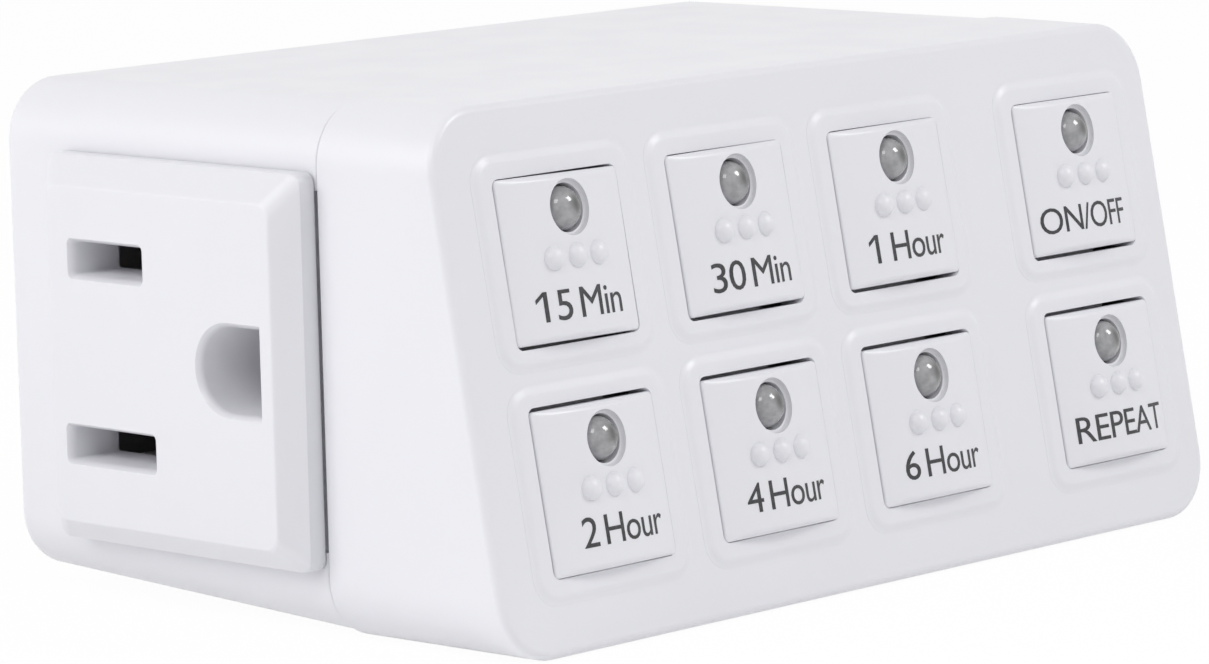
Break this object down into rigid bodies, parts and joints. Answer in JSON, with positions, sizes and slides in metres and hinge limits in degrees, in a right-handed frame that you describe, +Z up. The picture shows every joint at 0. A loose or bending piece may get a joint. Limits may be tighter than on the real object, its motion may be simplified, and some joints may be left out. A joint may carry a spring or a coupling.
{
  "type": "plug-in timer switch",
  "caption": "Block-shaped countdown timer that plugs straight into a grounded wall outlet, with hinged keys and lamps on its sloping front and a grounded outlet on its left end.",
  "frame": {"origin": "centre of the ground pin where it leaves the wall face of the plug block", "axes": "+Y along the plug's pins into the wall outlet, -Y towards the user and the keys, +Z up, +X to the user's right; the outlet is on the -X end"},
  "size_m": [0.0755, 0.0695, 0.0358],
  "materials": {
    "white_plastic": "satin moulded white",
    "key_plastic": "satin moulded white",
    "ivory_plastic": "matt",
    "lamp_lens": "diffused grey resin, unlit",
    "black_plastic": "matt",
    "plunger_plastic": "matt",
    "circuit_board": "green solder mask",
    "zinc_steel": "zinc plated",
    "ribbon": "matt grey insulation",
    "blue_plastic": "glossy",
    "yellow_plastic": "glossy",
    "capacitor_sleeve": "shrink sleeve",
    "resistor_body": "lacquered",
    "brass": "bright"
  },
  "bodies": {
    "case": {"rear_housing": "white_plastic", "front_cover": "white_plastic", "socket_plate": "white_plastic", "socket_core": "ivory_plastic", "key_frame": "white_plastic", "lamp_15_min": "lamp_lens", "lamp_30_min": "lamp_lens", "lamp_1_hour": "lamp_lens", "lamp_on_off": "lamp_lens", "lamp_2_hour": "lamp_lens", "lamp_4_hour": "lamp_lens", "lamp_6_hour": "lamp_lens", "lamp_repeat": "lamp_lens", "switch_15_min": "black_plastic", "switch_30_min": "black_plastic", "switch_1_hour": "black_plastic", "switch_on_off": "black_plastic", "switch_2_hour": "black_plastic", "switch_4_hour": "black_plastic", "switch_6_hour": "black_plastic", "switch_repeat": "black_plastic", "keypad_board": "circuit_board", "board_screws": "zinc_steel", "microcontroller": "black_plastic", "board_ribbon": "ribbon", "power_board": "circuit_board", "relay": "blue_plastic", "dropper_capacitor": "yellow_plastic", "smoothing_capacitor": "capacitor_sleeve", "varistor": "blue_plastic", "rectifier": "black_plastic", "bleed_resistor": "resistor_body", "plug_block": "white_plastic", "line_blade": "brass", "neutral_blade": "brass", "ground_pin": "brass", "line_contact": "brass", "neutral_contact": "brass", "ground_contact": "brass", "line_strap": "brass", "neutral_strap": "brass", "ground_strap": "brass", "housing_screws": "zinc_steel"},
    "key_15_min_body": {"key_15_min": "key_plastic"},
    "plunger_15_min_body": {"plunger_15_min": "plunger_plastic"},
    "key_30_min_body": {"key_30_min": "key_plastic"},
    "plunger_30_min_body": {"plunger_30_min": "plunger_plastic"},
    "key_1_hour_body": {"key_1_hour": "key_plastic"},
    "plunger_1_hour_body": {"plunger_1_hour": "plunger_plastic"},
    "key_on_off_body": {"key_on_off": "key_plastic"},
    "plunger_on_off_body": {"plunger_on_off": "plunger_plastic"},
    "key_2_hour_body": {"key_2_hour": "key_plastic"},
    "plunger_2_hour_body": {"plunger_2_hour": "plunger_plastic"},
    "key_4_hour_body": {"key_4_hour": "key_plastic"},
    "plunger_4_hour_body": {"plunger_4_hour": "plunger_plastic"},
    "key_6_hour_body": {"key_6_hour": "key_plastic"},
    "plunger_6_hour_body": {"plunger_6_hour": "plunger_plastic"},
    "key_repeat_body": {"key_repeat": "key_plastic"},
    "plunger_repeat_body": {"plunger_repeat": "plunger_plastic"}
  },
  "joints": [
    {"name": "key_15_min_press", "type": "hinge", "parent": "case", "child": "key_15_min_body", "pos_m": [-0.02562, -0.03992, 0.01968], "axis": [1, 0, 0], "range_deg": [0, 1.7], "stiffness_Nm_per_rad": 0.05, "springref_deg": -1.15},
    {"name": "plunger_15_min_slide", "type": "slide", "parent": "case", "child": "plunger_15_min_body", "axis": [0, 0.9829, -0.184], "range_m": [0, 0.00025]},
    {"name": "key_30_min_press", "type": "hinge", "parent": "case", "child": "key_30_min_body", "pos_m": [-0.00942, -0.03992, 0.01968], "axis": [1, 0, 0], "range_deg": [0, 1.7], "stiffness_Nm_per_rad": 0.05, "springref_deg": -1.15},
    {"name": "plunger_30_min_slide", "type": "slide", "parent": "case", "child": "plunger_30_min_body", "axis": [0, 0.9829, -0.184], "range_m": [0, 0.00025]},
    {"name": "key_1_hour_press", "type": "hinge", "parent": "case", "child": "key_1_hour_body", "pos_m": [0.00677, -0.03992, 0.01968], "axis": [1, 0, 0], "range_deg": [0, 1.7], "stiffness_Nm_per_rad": 0.05, "springref_deg": -1.15},
    {"name": "plunger_1_hour_slide", "type": "slide", "parent": "case", "child": "plunger_1_hour_body", "axis": [0, 0.9829, -0.184], "range_m": [0, 0.00025]},
    {"name": "key_on_off_press", "type": "hinge", "parent": "case", "child": "key_on_off_body", "pos_m": [0.02643, -0.03992, 0.01968], "axis": [1, 0, 0], "range_deg": [0, 1.7], "stiffness_Nm_per_rad": 0.05, "springref_deg": -1.15},
    {"name": "plunger_on_off_slide", "type": "slide", "parent": "case", "child": "plunger_on_off_body", "axis": [0, 0.9829, -0.184], "range_m": [0, 0.00025]},
    {"name": "key_2_hour_press", "type": "hinge", "parent": "case", "child": "key_2_hour_body", "pos_m": [-0.02562, -0.04504, -0.0077], "axis": [-1, 0, 0], "range_deg": [0, 3.2], "stiffness_Nm_per_rad": 0.05, "springref_deg": -1.15},
    {"name": "plunger_2_hour_slide", "type": "slide", "parent": "case", "child": "plunger_2_hour_body", "axis": [0, 0.9829, -0.184], "range_m": [0, 0.00025]},
    {"name": "key_4_hour_press", "type": "hinge", "parent": "case", "child": "key_4_hour_body", "pos_m": [-0.00942, -0.04504, -0.0077], "axis": [-1, 0, 0], "range_deg": [0, 3.2], "stiffness_Nm_per_rad": 0.05, "springref_deg": -1.15},
    {"name": "plunger_4_hour_slide", "type": "slide", "parent": "case", "child": "plunger_4_hour_body", "axis": [0, 0.9829, -0.184], "range_m": [0, 0.00025]},
    {"name": "key_6_hour_press", "type": "hinge", "parent": "case", "child": "key_6_hour_body", "pos_m": [0.00677, -0.04504, -0.0077], "axis": [-1, 0, 0], "range_deg": [0, 3.2], "stiffness_Nm_per_rad": 0.05, "springref_deg": -1.15},
    {"name": "plunger_6_hour_slide", "type": "slide", "parent": "case", "child": "plunger_6_hour_body", "axis": [0, 0.9829, -0.184], "range_m": [0, 0.00025]},
    {"name": "key_repeat_press", "type": "hinge", "parent": "case", "child": "key_repeat_body", "pos_m": [0.02643, -0.04504, -0.0077], "axis": [-1, 0, 0], "range_deg": [0, 3.2], "stiffness_Nm_per_rad": 0.05, "springref_deg": -1.15},
    {"name": "plunger_repeat_slide", "type": "slide", "parent": "case", "child": "plunger_repeat_body", "axis": [0, 0.9829, -0.184], "range_m": [0, 0.00025]}
  ],
  "couplings": [
    {"joint": "plunger_15_min_slide", "follows": "key_15_min_press", "m_per_rad": 0.0083},
    {"joint": "plunger_30_min_slide", "follows": "key_30_min_press", "m_per_rad": 0.0083},
    {"joint": "plunger_1_hour_slide", "follows": "key_1_hour_press", "m_per_rad": 0.0083},
    {"joint": "plunger_on_off_slide", "follows": "key_on_off_press", "m_per_rad": 0.0083},
    {"joint": "plunger_2_hour_slide", "follows": "key_2_hour_press", "m_per_rad": 0.0044},
    {"joint": "plunger_4_hour_slide", "follows": "key_4_hour_press", "m_per_rad": 0.0044},
    {"joint": "plunger_6_hour_slide", "follows": "key_6_hour_press", "m_per_rad": 0.0044},
    {"joint": "plunger_repeat_slide", "follows": "key_repeat_press", "m_per_rad": 0.0044}
  ]
}
